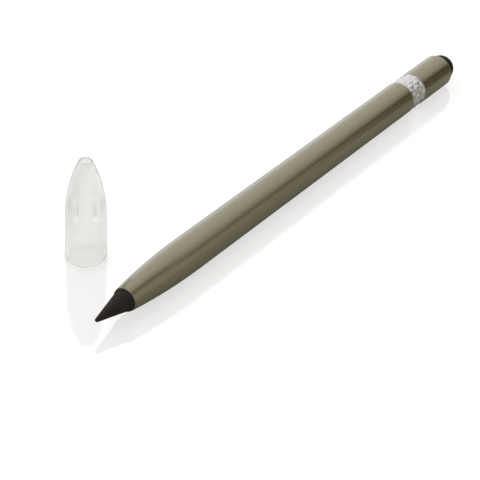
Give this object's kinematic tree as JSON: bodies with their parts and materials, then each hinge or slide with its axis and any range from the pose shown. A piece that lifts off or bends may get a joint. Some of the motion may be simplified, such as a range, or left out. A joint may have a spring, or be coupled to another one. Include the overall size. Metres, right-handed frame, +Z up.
{
  "type": "inkless metal pencil",
  "caption": "Round aluminium inkless pencil with a graphite cone tip, a diamond-knurled ring and a domed eraser, lying flat beside its frosted plastic cap.",
  "frame": {"origin": "on the table, in the middle of the footprint of the lying pencil and the standing cap", "axes": "+X along the pencil from its writing point to its eraser, +Z up, +Y to the side where the cap stands"},
  "size_m": [0.1528, 0.031, 0.0277],
  "materials": {
    "graphite": "matt graphite compound",
    "brass": "turned",
    "anodised": "satin anodised olive grey",
    "bright": "bright, diamond cut",
    "rubber": "matt black eraser rubber",
    "frosted": "translucent, frosted"
  },
  "bodies": {
    "pencil": {"barrel": "anodised", "nose_bush": "brass", "joint_sleeve": "brass", "knurled_ring": "bright"},
    "tip": {"writing_tip": "graphite", "tip_stud": "brass"},
    "eraser_end": {"eraser_sleeve": "anodised", "sleeve_insert": "brass", "eraser": "rubber"},
    "loose_cap": {"cap": "frosted"}
  },
  "joints": [
    {"name": "tip_unscrew", "type": "slide", "parent": "pencil", "child": "tip", "axis": [-1, 0, 0], "range_m": [0, 0.008]},
    {"name": "eraser_end_unscrew", "type": "slide", "parent": "pencil", "child": "eraser_end", "axis": [1, 0, 0], "range_m": [0, 0.0055]},
    {"name": "cap_lift", "type": "slide", "parent": "pencil", "child": "loose_cap", "axis": [0, 0, 1], "range_m": [0, 0.06]}
  ]
}
